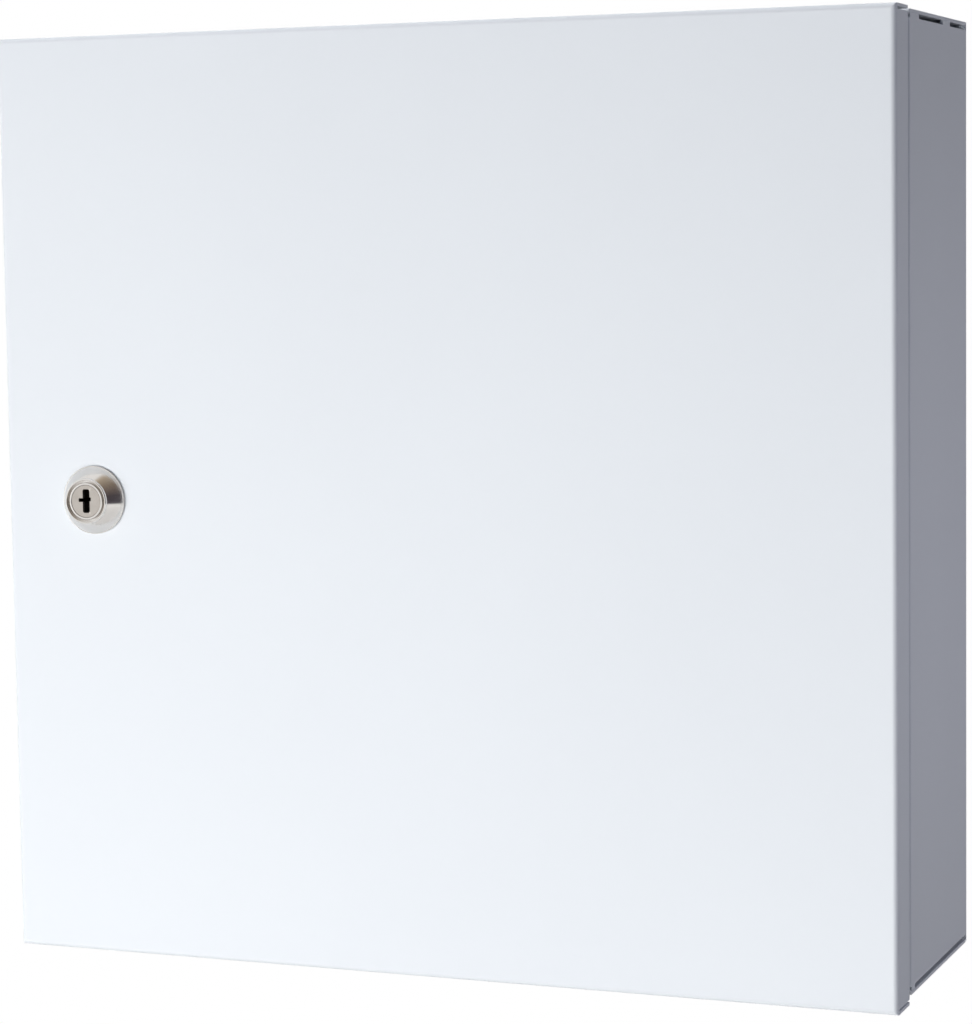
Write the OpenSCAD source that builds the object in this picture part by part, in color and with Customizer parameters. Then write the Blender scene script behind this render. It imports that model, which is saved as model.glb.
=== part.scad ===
// Wall-mounted sheet-steel enclosure with a hinged door and a cam lock.
// The origin is the middle of the wall fixing holes, on the wall plane: +Z is up, the door faces -Y.

/* [Cabinet body] */
// Width of the body over its side walls
body_w = 349; // [260:1:500]
// Height of the body over its end panels
body_h = 347; // [320:1:500]
// Depth of the body from the wall to its front lips
body_d = 90; // [78:1:160]
// Thickness of the body sheet
body_t = 1.2; // [0.8:0.1:1.6]
// Inner radius of the folds in the body sheet
body_fold = 0.8; // [0.4:0.1:1.6]
// Width of the lips folded in round the front
lip_w = 18; // [16:1:26]
// Height of the end panels' rear flanges
rear_flange = 14; // [8:1:24]

/* [Corner seams] */
// Open gap between a side wall and an end panel
seam_gap = 1.7; // [0.6:0.1:2.6]
// Length of the front tack tab at the top
front_tab = 13; // [8:1:18]
// Length of the front open slot at the top
front_slot = 36; // [20:1:40]
// Length of the middle tack tab at the top
mid_tab = 11; // [6:1:16]
// Length of the only tack tab at the bottom
bottom_tab = 5; // [4:1:18]

/* [Cable knock-outs] */
// Diameter of a knock-out
knock_d = 22; // [16:0.5:32]
// Number of knock-outs in the bottom panel
knock_count = 4; // [1:1:5]
// Distance between knock-outs
knock_pitch = 48; // [40:1:55]
// Width of the half-sheared ring
knock_ring = 0.8; // [0.5:0.1:1.5]
// Depth of the half-sheared ring
knock_depth = 0.5; // [0.2:0.1:0.7]

/* [Door] */
// Depth of the door's rim
door_d = 17; // [16:0.5:24]
// Thickness of the door sheet
door_t = 1.2; // [0.8:0.1:1.6]
// Inner radius of the folds in the door sheet
door_fold = 1; // [0.5:0.1:1.8]
// Gap between the door's rim and the body
door_gap = 3; // [2.5:0.1:6]
// Reach of the door past the body at the top
over_top = 0.8; // [0:0.1:3]
// Reach of the door past the body at the bottom
over_bottom = 2.5; // [0:0.1:4]
// Reach of the door past the body at each side
over_side = 0.5; // [0:0.1:1.5]
// Width of the lip folded in along the lock side
return_w = 12; // [11:0.5:15]
// Open gap at the corners of the rim
rim_seam = 0.8; // [0.3:0.1:1.5]

/* [Hinges] */
// Distance of a hinge from the end of the body
hinge_in = 63.5; // [40:0.5:90]
// Height of a hinge
hinge_h = 30; // [26:1:44]
// Height of the strap's knuckle
knuckle_h = 14; // [10:1:18]
// Diameter of the hinge pin
pin_d = 5; // [4:0.1:6]
// Thickness of the hinge strips
strip_t = 2; // [1.5:0.1:3]
// Distance from the pin's axis back to the door's rim
pin_ahead = 8; // [6:0.1:10]
// Diameter of a strap rivet
rivet_d = 4; // [3:0.1:4.5]
// Distance between the two rivets of a strap
rivet_pitch = 18; // [12:1:20]

/* [Lock] */
// Distance of the lock from the door's left edge
lock_inset = 37.5; // [36:0.5:50]
// Diameter of the lock head's base
head_d = 26; // [24:0.5:32]
// Thickness of the lock head's base
head_base = 1.1; // [0.6:0.1:2]
// Diameter of the lock head's front ring
head_rim_d = 15.6; // [15:0.1:17]
// How far the lock head stands out of the door
head_h = 7.3; // [5:0.1:10]
// Diameter of the lock barrel
barrel_d = 19; // [17:0.5:21]
// Width of the barrel across its flats
barrel_flats = 16.5; // [14:0.1:18]
// Diameter of the plug's face
plug_d = 12.4; // [11.8:0.1:13]
// Diameter of the plug behind its face
plug_shank_d = 11.4; // [11:0.1:12]
// Thickness of the plug's face
plug_face = 2; // [1.5:0.1:3]
// Width of the keyway
key_w = 2.9; // [2:0.1:3.5]
// Height of the keyway
key_h = 8.8; // [6:0.1:10]
// Depth of the keyway
key_depth = 17; // [10:1:19]
// Thickness of the lock washer
lock_washer_t = 1; // [0.6:0.1:1.5]
// Thickness of the lock nut
lock_nut_t = 5; // [3:0.1:7]
// Width of the lock nut across its flats
lock_nut_af = 24; // [23.5:0.5:28]

/* [Cam] */
// How far the turned cam reaches behind the body's lip
cam_catch = 12; // [6:0.5:15]
// Width of the cam
cam_w = 14; // [12.5:0.5:20]
// Thickness of the cam
cam_t = 2.5; // [1.5:0.1:4]
// Width of the plug's square tail
tail_w = 7.6; // [6.5:0.1:7.7]
// Diameter of the cam screw
cam_screw_d = 4; // [3:0.1:4.5]
// Diameter of the cam screw's head
cam_head_d = 8; // [6:0.1:9.5]

/* [Mounting plate] */
// Distance from the mounting plate's edges to the body's walls
plate_margin = 33; // [25:0.5:60]
// Thickness of the mounting plate
plate_t = 1.5; // [1:0.1:3]
// Height of the plate's stiffening folds
plate_fold_h = 8; // [5:0.5:14]
// Inner radius of the plate's folds
plate_fold = 1; // [0.5:0.1:2]
// Distance from the back sheet to the plate
plate_off = 9; // [6:0.5:20]
// Distance of a plate stud from the plate's edge
plate_stud_in = 18; // [12:1:30]
// Diameter of a plate stud
plate_stud_d = 6; // [4:0.5:6.5]
// Diameter of a plate stud's shoulder
shoulder_d = 12; // [10:0.5:16]

/* [Earth studs] */
// Diameter of an earth stud
earth_d = 6; // [4:0.5:6.5]
// Length of an earth stud
earth_len = 15; // [10:0.5:15.5]
// Height of the earth studs below mid-height
earth_down = 62; // [20:1:100]
// Distance of the door's earth stud from the door's right edge
door_earth_in = 45; // [40:1:80]

/* [Nuts and washers] */
// Width of the stud nuts across their flats
nut_af = 10; // [9:0.5:13]
// Thickness of the stud nuts
nut_t = 5; // [3:0.1:6]
// Diameter of the stud washers
washer_d = 12; // [11:0.5:16]
// Thickness of the stud washers
washer_t = 1.4; // [0.8:0.1:2]

/* [Wall fixing] */
// Distance of a wall hole from the body's side
wall_hole_side = 24.5; // [10:0.5:32]
// Distance of a wall hole from the body's end
wall_hole_end = 23.5; // [19:0.5:32]
// Diameter of a wall hole
wall_hole_d = 8; // [5:0.5:10]

/* [Door buffers] */
// Diameter of a rubber buffer
buffer_d = 8; // [5:0.5:9]
// Distance of a buffer from the end of the body
buffer_in = 53.5; // [30:0.5:90]

/* [Clearances] */
// Radial clearance of a pin or plug that turns
run_clear = 0.06; // [0.03:0.01:0.1]
// Radial clearance of a pin, stud or screw that is fixed
fix_clear = 0.03; // [0.01:0.01:0.1]
// Radial clearance of a through hole
hole_clear = 0.4; // [0.2:0.1:0.6]
// Gap between pieces that pass or end beside each other
side_clear = 0.3; // [0.2:0.05:0.5]
// Gap between the cam and the lip that it catches
cam_clear = 0.8; // [0.5:0.1:1.5]

/* [Hidden] */
$fn = 64;
// Overrun of a cut past the face that it opens
cut = 1;

paint = [0.93, 0.94, 0.95];
nickel = [0.78, 0.75, 0.7];
zinc = [0.74, 0.76, 0.78];
galvanised = [0.66, 0.69, 0.71];
rubber = [0.1, 0.1, 0.1];

// Body
bend_r = body_fold + body_t;
mouth_w = body_w - 2 * lip_w;
panel_under = body_h / 2 - body_t;
side_top = panel_under - seam_gap;
lip_front = -body_d;
lip_back = lip_front + body_t;
lip_end = body_h / 2 - lip_w - side_clear;
panel_end_x = body_w / 2 - bend_r - side_clear;
front_tab_y = lip_front + bend_r + side_clear;
front_slot_y = front_tab_y + front_tab;
mid_tab_y = front_slot_y + front_slot;
rear_slot_y = mid_tab_y + mid_tab;
fold_slot = [lip_front - cut, front_tab_y];
top_slots = [fold_slot, [front_slot_y, mid_tab_y], [rear_slot_y, -bend_r]];
bottom_slots = [fold_slot, [front_tab_y + bottom_tab, -bend_r]];
wall_hole_x = body_w / 2 - wall_hole_side;
wall_hole_z = body_h / 2 - wall_hole_end;

// Door
door_w = body_w + 2 * over_side;
door_h = body_h + over_top + over_bottom;
door_mid_z = (over_top - over_bottom) / 2;
door_rim = lip_front - door_gap;
door_front = door_rim - door_d;
door_inside = door_front + door_t;
door_bend = door_fold + door_t;

// Hinges
hinge_z = body_h / 2 - hinge_in;
knuckle_r = pin_d / 2 + strip_t;
pin_x = door_w / 2 - door_t - knuckle_r;
pin_y = door_rim - pin_ahead;
strap_bend_in = 1;
strap_bend = strap_bend_in + strip_t;
strap_x = mouth_w / 2 - strap_bend;
strap_foot_end = body_w / 2 - body_t - side_clear - body_fold;
knuckle_z = knuckle_h / 2 + side_clear;
leaf_window = knuckle_r + side_clear;
leaf_front = door_inside + door_fold + side_clear;
rivet_x = (strap_x + strap_bend + strap_foot_end) / 2;
rivet_head_d = rivet_d * 1.75;
rivet_head_h = rivet_d * 0.3;
pin_head_d = 2 * knuckle_r - 1;
pin_head_h = 1.5;
pin_tail = 1.5;

// Lock
lock_x = -door_w / 2 + lock_inset;
lock_z = door_mid_z;
head_front = door_front - head_h;
dome_step = 0.7;
dome_d = head_d - 2 * dome_step;
rim_ring_h = 1;
dome_base = door_front - head_base;
dome_top = head_front + rim_ring_h;
plug_recess = 0.4;
plug_front = head_front + plug_recess;
bore_step = plug_front + plug_face + side_clear;
cam_front = lip_back + cam_clear;
plug_proud = 1.6;
barrel_end = cam_front - plug_proud;
key_front_cut = plug_front - cut;
ward_w = 1.7;
ward_h = 1.5;
cam_back = cam_front + cam_t;
cam_len = lock_inset - over_side - lip_w + cam_catch;
tail_short = 0.2;
cam_washer_d = cam_head_d + 3;
cam_washer_t = 1;
cam_head_t = cam_head_d * 0.38;
cam_screw_len = 9;
screw_slot_w = 1.2;
screw_slot_depth = cam_head_t * 0.4;
screw_hole_past = 2;

// Inside
plate_w = body_w - 2 * body_t - 2 * plate_margin;
plate_h = body_h - 2 * body_t - 2 * plate_margin;
plate_back = -body_t - plate_off;
plate_face = plate_back - plate_t;
plate_stud_x = plate_w / 2 - plate_stud_in;
plate_stud_z = plate_h / 2 - plate_stud_in;
thread_past = 3;
plate_stud_tip = plate_face - washer_t - nut_t - thread_past;
cabinet_earth_x = (plate_w / 2 + body_w / 2 - body_t) / 2;
door_earth_x = door_w / 2 - door_earth_in;
buffer_x = -body_w / 2 + bend_r + side_clear + buffer_d / 2;
buffer_z = body_h / 2 - buffer_in;

// Places something drawn along +Z so that it points from the door to the wall
module toward_wall(x, y, z) {
    translate([x, y, z])
        rotate([-90, 0, 0])
            children();
}

// Places something drawn along +Z so that it points from the wall to the door
module toward_door(x, y, z) {
    translate([x, y, z])
        rotate([90, 0, 0])
            children();
}

// Extrudes an outline drawn in (Y, Z) across the width
module across(width) {
    translate([-width / 2, 0, 0])
        rotate([90, 0, 90])
            linear_extrude(height = width)
                children();
}

// Rectangle with round corners, from its lower left corner
module round_rect(w, h, r) {
    translate([r, 0])
        square([w - 2 * r, h]);
    translate([0, r])
        square([w, h - 2 * r]);
    for (x = [r, w - r], y = [r, h - r])
        translate([x, y])
            circle(r);
}

// Quarter turn of folded sheet round the origin, in the first quadrant
module fold_turn(inner, thick) {
    intersection() {
        difference() {
            circle(inner + thick);
            circle(inner);
        }
        square(inner + thick);
    }
}

// Folded channel: a web along X with its outer face on Y = 0 and two legs folded down
module channel(length, leg_left, leg_right, inner, thick) {
    bend = inner + thick;
    translate([-length / 2 + bend, -thick])
        square([length - 2 * bend, thick]);
    translate([-length / 2, -leg_left])
        square([thick, leg_left - bend]);
    translate([length / 2 - thick, -leg_right])
        square([thick, leg_right - bend]);
    for (side = [0, 1])
        mirror([side, 0])
            translate([length / 2 - bend, -bend])
                fold_turn(inner, thick);
}

// Body sheet seen from above: back, sides and the two upright lips
module wrap_outline() {
    difference() {
        translate([-body_w / 2, -body_d])
            round_rect(body_w, body_d, bend_r);
        translate([-body_w / 2 + body_t, -body_d + body_t])
            round_rect(body_w - 2 * body_t, body_d - 2 * body_t, body_fold);
        translate([-mouth_w / 2, -body_d - cut])
            square([mouth_w, body_t + 2 * cut]);
    }
}

// Blank cut away above one end of the side walls, apart from the tack tabs between the open slots
module wrap_end_cut(slots) {
    over_h = body_h / 2 - panel_under + cut;
    translate([-body_w / 2 - cut, lip_front - cut, panel_under])
        cube([body_w + 2 * cut, body_d - bend_r + cut, over_h]);
    for (slot = slots)
        translate([-body_w / 2 - cut, slot[0], side_top])
            cube([body_w + 2 * cut, slot[1] - slot[0], seam_gap + cut]);
    translate([-panel_end_x - side_clear, lip_front - cut, lip_end])
        cube([2 * (panel_end_x + side_clear), body_t + body_fold + cut, body_h]);
}

module body_wrap() {
    color(paint)
        difference() {
            linear_extrude(height = body_h, center = true)
                wrap_outline();
            wrap_end_cut(top_slots);
            mirror([0, 0, 1])
                wrap_end_cut(bottom_slots);
            for (x = [-1, 1], z = [-1, 1])
                toward_wall(x * wall_hole_x, -body_t - cut, z * wall_hole_z)
                    cylinder(d = wall_hole_d, h = body_t + 2 * cut);
            for (z = [-1, 1])
                rivet_places(z * hinge_z)
                    cylinder(d = rivet_d + 2 * fix_clear, h = body_t + strip_t + 2 * cut);
        }
}

// End panel at the top: flat sheet, front lip and rear flange
module end_panel() {
    length = body_d - body_t;
    corner_w = bend_r + side_clear;
    flange_d = corner_w + body_t;
    difference() {
        translate([0, 0, body_h / 2])
            across(body_w)
                translate([-body_t - length / 2, 0])
                    channel(length, lip_w, rear_flange, body_fold, body_t);
        for (side = [0, 1])
            mirror([side, 0, 0]) {
                translate([panel_end_x, lip_front - cut, body_h / 2 - lip_w - cut])
                    cube([corner_w + cut, bend_r + cut, lip_w + cut - bend_r]);
                translate([panel_end_x, -flange_d, body_h / 2 - rear_flange - cut])
                    cube([corner_w + cut, flange_d + cut, rear_flange + 2 * cut]);
            }
    }
}

module top_panel() {
    color(paint)
        end_panel();
}

module bottom_panel() {
    ring_outer = knock_d / 2;
    color(paint)
        difference() {
            mirror([0, 0, 1])
                end_panel();
            for (i = [0 : knock_count - 1])
                translate([(i - (knock_count - 1) / 2) * knock_pitch, -body_d / 2, -body_h / 2 - cut])
                    difference() {
                        cylinder(r = ring_outer, h = knock_depth + cut);
                        translate([0, 0, -cut])
                            cylinder(r = ring_outer - knock_ring, h = knock_depth + 3 * cut);
                    }
        }
}

// Solid of the door's pan, inset all round by a thickness, with its folds rounded
module pan_block(inset, radius, rear) {
    w = door_w - 2 * inset;
    h = door_h - 2 * inset;
    front = door_front + inset;
    depth = rear - front;
    translate([0, 0, door_mid_z])
        intersection() {
            // From above: the hinge side ends square, the other three corners are folds
            linear_extrude(height = h, center = true) {
                translate([-w / 2, front])
                    round_rect(w, depth, radius);
                translate([w / 2 - radius, rear - radius])
                    square(radius);
            }
            // From the side: the top and bottom rims are folded back from the front
            across(w)
                translate([front, -h / 2])
                    round_rect(depth + 2 * radius, h, radius);
        }
}

// Cut across one upper corner of the pan, just under the top rim
module rim_corner_cut(x, length) {
    translate([x, door_rim - length, door_mid_z + door_h / 2 - door_t - rim_seam])
        cube([door_t, length + cut, rim_seam]);
}

module door_panel() {
    inner_h = door_h - 2 * door_t;
    rim_back = door_rim - door_t;
    way_in = door_w - door_t - return_w;
    seam_len = door_d - door_bend - side_clear;
    color(paint)
        difference() {
            pan_block(0, door_bend, door_rim);
            pan_block(door_t, door_fold, rim_back);
            // Way into the pan, between the lock-side lip and the other three rims
            translate([-door_w / 2 + return_w, rim_back - door_fold, door_mid_z - inner_h / 2])
                cube([way_in, door_t + door_fold + cut, inner_h]);
            // Open corners of the rim, and ends of the lock-side lip
            for (end = [0, 1])
                translate([0, 0, end * 2 * door_mid_z])
                    mirror([0, 0, end]) {
                        rim_corner_cut(door_w / 2 - door_t, seam_len);
                        rim_corner_cut(-door_w / 2, seam_len);
                        translate([-door_w / 2, door_rim - door_t, door_mid_z + inner_h / 2 - rim_seam])
                            cube([return_w + cut, door_t + cut, rim_seam]);
                    }
            toward_wall(lock_x, door_front - cut, lock_z)
                linear_extrude(height = door_t + 2 * cut)
                    barrel_outline(side_clear / 2);
        }
}

// Lock barrel's cross-section, a circle with two flats, grown by a clearance
module barrel_outline(grow) {
    intersection() {
        circle(d = barrel_d + 2 * grow);
        square([barrel_flats + 2 * grow, barrel_d + 2 * grow + cut], center = true);
    }
}

// Places the two rivets of a strap, drawn along +Z from the front face of the lip
module rivet_places(z) {
    for (side = [-1, 1])
        toward_wall(rivet_x, lip_front - cut, z + side * rivet_pitch / 2)
            children();
}

// Strap seen from above, from its foot behind the lip to where its knuckle starts
module strap_outline() {
    front = pin_y - knuckle_r;
    foot_back = lip_back + strip_t;
    translate([strap_x + strap_bend, lip_back])
        square([strap_foot_end - strap_x - strap_bend, strip_t]);
    translate([strap_x, front + strap_bend])
        square([strip_t, foot_back - front - 2 * strap_bend]);
    translate([strap_x + strap_bend, front])
        square([pin_x - knuckle_r - side_clear - strap_x - strap_bend, strip_t]);
    translate([strap_x + strap_bend, front + strap_bend])
        rotate(180)
            fold_turn(strap_bend_in, strip_t);
    translate([strap_x + strap_bend, foot_back - strap_bend])
        rotate(90)
            fold_turn(strap_bend_in, strip_t);
}

// Knuckle of a hinge, rolled round the pin
module knuckle_ring(bore_clear) {
    difference() {
        circle(knuckle_r);
        circle(pin_d / 2 + bore_clear);
    }
}

module hinge_strap(z) {
    color(zinc)
        translate([0, 0, z])
            difference() {
                union() {
                    linear_extrude(height = hinge_h, center = true)
                        strap_outline();
                    linear_extrude(height = knuckle_h, center = true) {
                        translate([pin_x, pin_y])
                            knuckle_ring(fix_clear);
                        difference() {
                            translate([pin_x - knuckle_r - side_clear, pin_y - knuckle_r])
                                square([knuckle_r + side_clear, strip_t]);
                            translate([pin_x, pin_y])
                                circle(pin_d / 2 + fix_clear);
                        }
                    }
                }
                rivet_places(0)
                    cylinder(d = rivet_d + 2 * fix_clear, h = body_t + strip_t + 2 * cut);
            }
}

module hinge_leaf(z) {
    knuckle_len = hinge_h / 2 - knuckle_z;
    plate_x = pin_x + knuckle_r - strip_t;
    color(zinc)
        translate([0, 0, z]) {
            difference() {
                translate([plate_x, leaf_front, -hinge_h / 2])
                    cube([strip_t, door_rim - side_clear - leaf_front, hinge_h]);
                translate([plate_x - cut, pin_y - leaf_window, -knuckle_z])
                    cube([strip_t + 2 * cut, 2 * leaf_window, 2 * knuckle_z]);
                translate([pin_x, pin_y, -hinge_h])
                    cylinder(r = knuckle_r - strip_t / 2, h = 2 * hinge_h);
            }
            for (end = [knuckle_z, -hinge_h / 2])
                translate([pin_x, pin_y, end])
                    linear_extrude(height = knuckle_len)
                        knuckle_ring(run_clear);
        }
}

module hinge_pin(z) {
    color(zinc)
        translate([pin_x, pin_y, z]) {
            translate([0, 0, -hinge_h / 2 - pin_tail])
                cylinder(d = pin_d, h = hinge_h + pin_tail + side_clear);
            translate([0, 0, hinge_h / 2 + side_clear])
                cylinder(d1 = pin_head_d, d2 = pin_d, h = pin_head_h);
        }
}

module upper_hinge_strap() {
    hinge_strap(hinge_z);
}

module lower_hinge_strap() {
    hinge_strap(-hinge_z);
}

module upper_hinge_leaf() {
    hinge_leaf(hinge_z);
}

module lower_hinge_leaf() {
    hinge_leaf(-hinge_z);
}

module upper_hinge_pin() {
    hinge_pin(hinge_z);
}

module lower_hinge_pin() {
    hinge_pin(-hinge_z);
}

// Domed head on the plane Z = 0, standing up by height
module domed_head(d, height) {
    ball_r = (d * d / 4 + height * height) / (2 * height);
    intersection() {
        translate([0, 0, height - ball_r])
            sphere(ball_r);
        cylinder(d = d + cut, h = height + cut);
    }
}

module strap_rivets() {
    grip = body_t + strip_t;
    color(zinc)
        for (z = [-1, 1])
            rivet_places(z * hinge_z) {
                translate([0, 0, cut])
                    cylinder(d = rivet_d, h = grip);
                translate([0, 0, cut])
                    mirror([0, 0, 1])
                        domed_head(rivet_head_d, rivet_head_h);
                translate([0, 0, cut + grip])
                    domed_head(rivet_head_d, rivet_head_h);
            }
}

module door_buffers() {
    height = door_gap - side_clear;
    color(rubber)
        for (z = [-1, 1])
            toward_door(buffer_x, lip_front, z * buffer_z) {
                cylinder(d = buffer_d, h = height / 2);
                translate([0, 0, height / 2])
                    cylinder(d1 = buffer_d, d2 = buffer_d - height / 2, h = height / 2);
            }
}

// Places something on each of the four plate studs, at a depth
module plate_stud_places(y) {
    for (x = [-1, 1], z = [-1, 1])
        toward_door(x * plate_stud_x, y, z * plate_stud_z)
            children();
}

module mounting_plate() {
    color(galvanised)
        difference() {
            translate([0, plate_back, 0])
                across(plate_w)
                    rotate(-90)
                        channel(plate_h, plate_fold_h, plate_fold_h, plate_fold, plate_t);
            plate_stud_places(plate_back + cut)
                cylinder(d = plate_stud_d + 2 * hole_clear, h = plate_t + 2 * cut);
        }
}

// Hexagon nut on the plane Z = 0, with the corners of its top turned down
module hex_nut(af, bore_d, height) {
    corner_d = af / cos(30);
    chamfer = (corner_d - af) / 2;
    difference() {
        intersection() {
            cylinder(d = corner_d, h = height, $fn = 6);
            union() {
                cylinder(d = corner_d + cut, h = height - chamfer);
                translate([0, 0, height - chamfer])
                    cylinder(d1 = corner_d + cut, d2 = af - chamfer + cut, h = chamfer);
            }
        }
        translate([0, 0, -cut])
            cylinder(d = bore_d, h = height + 2 * cut);
    }
}

// Flat washer on the plane Z = 0
module flat_washer(outer_d, bore_d, height) {
    difference() {
        cylinder(d = outer_d, h = height);
        translate([0, 0, -cut])
            cylinder(d = bore_d, h = height + 2 * cut);
    }
}

// Threaded stud on the plane Z = 0, with a turned-down tip
module stud(d, length) {
    tip = d / 8;
    cylinder(d = d, h = length - tip);
    translate([0, 0, length - tip])
        cylinder(d1 = d, d2 = d - 2 * tip, h = tip);
}

module plate_studs() {
    color(zinc)
        plate_stud_places(-body_t) {
            cylinder(d = shoulder_d, h = plate_off);
            stud(plate_stud_d, -body_t - plate_stud_tip);
        }
}

module plate_washers() {
    color(zinc)
        plate_stud_places(plate_face)
            flat_washer(washer_d, plate_stud_d + 2 * hole_clear, washer_t);
}

module plate_nuts() {
    color(zinc)
        plate_stud_places(plate_face - washer_t)
            hex_nut(nut_af, plate_stud_d + 2 * fix_clear, nut_t);
}

// Places something on the cabinet's earth stud, from the back sheet towards the door
module cabinet_earth_place(up) {
    toward_door(cabinet_earth_x, -body_t - up, -earth_down)
        children();
}

// Places something on the door's earth stud, from the door sheet towards the wall
module door_earth_place(up) {
    toward_wall(door_earth_x, door_inside + up, -earth_down)
        children();
}

module cabinet_earth_stud() {
    color(zinc)
        cabinet_earth_place(0)
            stud(earth_d, earth_len);
}

module cabinet_earth_washer() {
    color(zinc)
        cabinet_earth_place(0)
            flat_washer(washer_d, earth_d + 2 * hole_clear, washer_t);
}

module cabinet_earth_nut() {
    color(zinc)
        cabinet_earth_place(washer_t)
            hex_nut(nut_af, earth_d + 2 * fix_clear, nut_t);
}

module door_earth_stud() {
    color(zinc)
        door_earth_place(0)
            stud(earth_d, earth_len);
}

module door_earth_washer() {
    color(zinc)
        door_earth_place(0)
            flat_washer(washer_d, earth_d + 2 * hole_clear, washer_t);
}

module door_earth_nut() {
    color(zinc)
        door_earth_place(washer_t)
            hex_nut(nut_af, earth_d + 2 * fix_clear, nut_t);
}

// Head of the lock: base, dome and front ring, drawn from the door's face outwards
module lock_head() {
    dome_h = dome_base - dome_top;
    base_r = dome_d / 2;
    top_r = head_rim_d / 2;
    // Ball whose zone is the dome, from the base radius up to the ring
    below = (base_r * base_r - top_r * top_r - dome_h * dome_h) / (2 * dome_h);
    ball_r = sqrt(base_r * base_r + below * below);
    cylinder(d = head_d, h = head_base);
    intersection() {
        translate([0, 0, head_base - below])
            sphere(ball_r);
        cylinder(d = dome_d, h = head_base + dome_h);
    }
    cylinder(d = head_rim_d, h = head_h);
}

module lock_housing() {
    color(nickel)
        difference() {
            union() {
                toward_door(lock_x, door_front, lock_z)
                    lock_head();
                toward_wall(lock_x, door_front - head_base, lock_z)
                    linear_extrude(height = barrel_end - door_front + head_base)
                        barrel_outline(0);
            }
            toward_wall(lock_x, head_front - cut, lock_z) {
                cylinder(d = plug_d + 2 * run_clear, h = bore_step - head_front + cut);
                cylinder(d = plug_shank_d + 2 * run_clear, h = barrel_end - head_front + 2 * cut);
            }
        }
}

module lock_plug() {
    color(nickel)
        difference() {
            union() {
                toward_wall(lock_x, plug_front, lock_z)
                    cylinder(d = plug_d, h = plug_face);
                toward_wall(lock_x, plug_front, lock_z)
                    cylinder(d = plug_shank_d, h = cam_front - plug_front);
                translate([lock_x - tail_w / 2, cam_front - cut, lock_z - tail_w / 2])
                    cube([tail_w, cam_t + cut - tail_short, tail_w]);
            }
            // Keyway, upright at rest, with its ward to the left
            translate([lock_x - key_w / 2, key_front_cut, lock_z - key_h / 2])
                cube([key_w, key_depth + cut, key_h]);
            translate([lock_x - key_w / 2 - ward_w, key_front_cut, lock_z - ward_h / 2])
                cube([ward_w + cut, key_depth + cut, ward_h]);
            toward_door(lock_x, cam_back, lock_z)
                cylinder(d = cam_screw_d + 2 * fix_clear, h = cam_screw_len + screw_hole_past);
        }
}

module lock_washer() {
    color(zinc)
        toward_wall(lock_x, door_inside, lock_z)
            flat_washer(lock_nut_af, barrel_d + 2 * fix_clear, lock_washer_t);
}

module lock_nut() {
    color(zinc)
        toward_wall(lock_x, door_inside + lock_washer_t, lock_z)
            hex_nut(lock_nut_af, barrel_d + 2 * fix_clear, lock_nut_t);
}

// Cam hanging down from the plug's tail, drawn with +Y down
module lock_cam() {
    tip_r = cam_w / 2;
    color(zinc)
        toward_wall(lock_x, cam_front, lock_z)
            linear_extrude(height = cam_t)
                difference() {
                    union() {
                        circle(tip_r);
                        translate([-tip_r, 0])
                            square([cam_w, cam_len - tip_r]);
                        translate([0, cam_len - tip_r])
                            circle(tip_r);
                    }
                    square(tail_w + 2 * fix_clear, center = true);
                }
}

module cam_washer() {
    color(zinc)
        toward_wall(lock_x, cam_back, lock_z)
            flat_washer(cam_washer_d, cam_screw_d + 2 * hole_clear, cam_washer_t);
}

module cam_screw() {
    color(zinc)
        difference() {
            toward_wall(lock_x, cam_back + cam_washer_t, lock_z) {
                domed_head(cam_head_d, cam_head_t);
                mirror([0, 0, 1])
                    cylinder(d = cam_screw_d, h = cam_screw_len);
            }
            translate([
                lock_x - screw_slot_w / 2,
                cam_back + cam_washer_t + cam_head_t - screw_slot_depth,
                lock_z - cam_head_d
            ])
                cube([screw_slot_w, screw_slot_depth + cut, 2 * cam_head_d]);
        }
}

body_wrap();
top_panel();
bottom_panel();
upper_hinge_strap();
lower_hinge_strap();
upper_hinge_pin();
lower_hinge_pin();
strap_rivets();
door_buffers();
mounting_plate();
plate_studs();
plate_washers();
plate_nuts();
cabinet_earth_stud();
cabinet_earth_washer();
cabinet_earth_nut();
door_panel();
upper_hinge_leaf();
lower_hinge_leaf();
lock_housing();
lock_washer();
lock_nut();
door_earth_stud();
door_earth_washer();
door_earth_nut();
lock_plug();
lock_cam();
cam_washer();
cam_screw();
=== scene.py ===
import math

import bmesh
import bpy
from mathutils import Matrix, Vector


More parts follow.
